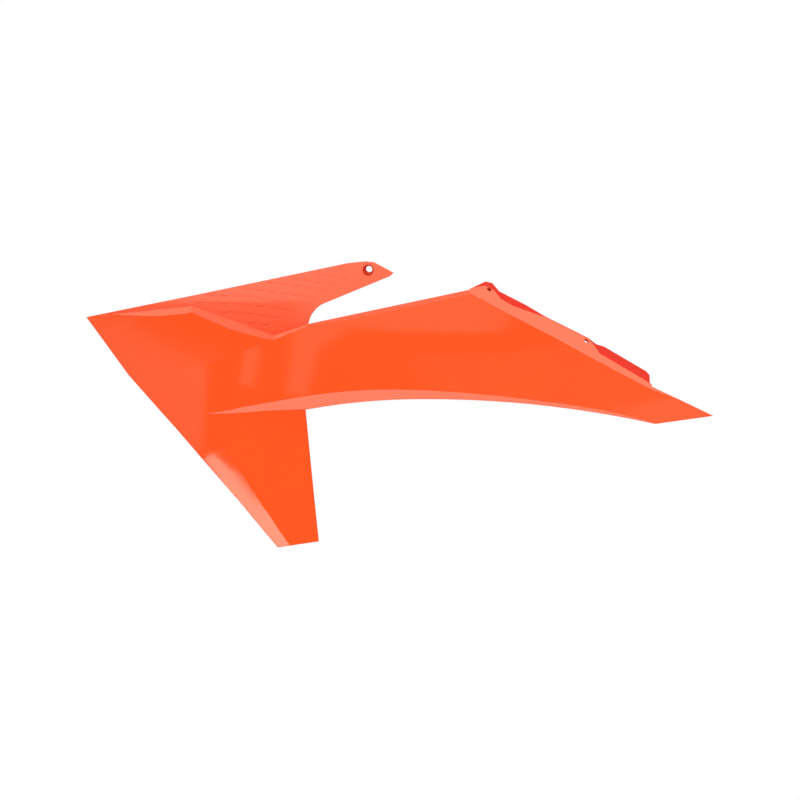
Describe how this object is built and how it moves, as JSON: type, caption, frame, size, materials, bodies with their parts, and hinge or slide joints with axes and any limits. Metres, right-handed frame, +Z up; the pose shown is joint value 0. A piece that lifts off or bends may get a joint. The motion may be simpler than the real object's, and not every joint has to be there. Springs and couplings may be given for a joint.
{
  "type": "dirt bike radiator shroud",
  "caption": "Swept plastic side panel with a textured upper arm, a long tail, a lower fin and a bolted upper mount.",
  "frame": {"origin": "centre of the floor of the upper bolt recess, where the bolt hole starts", "axes": "+X back along the tail, -Y out from the bike through the glossy face, +Z up"},
  "size_m": [0.6385, 0.0447, 0.2909],
  "materials": {
    "panel_plastic": "gloss outer face, fine matte grain on the upper arm"
  },
  "bodies": {
    "root": {"shroud_panel": "panel_plastic"}
  },
  "joints": []
}
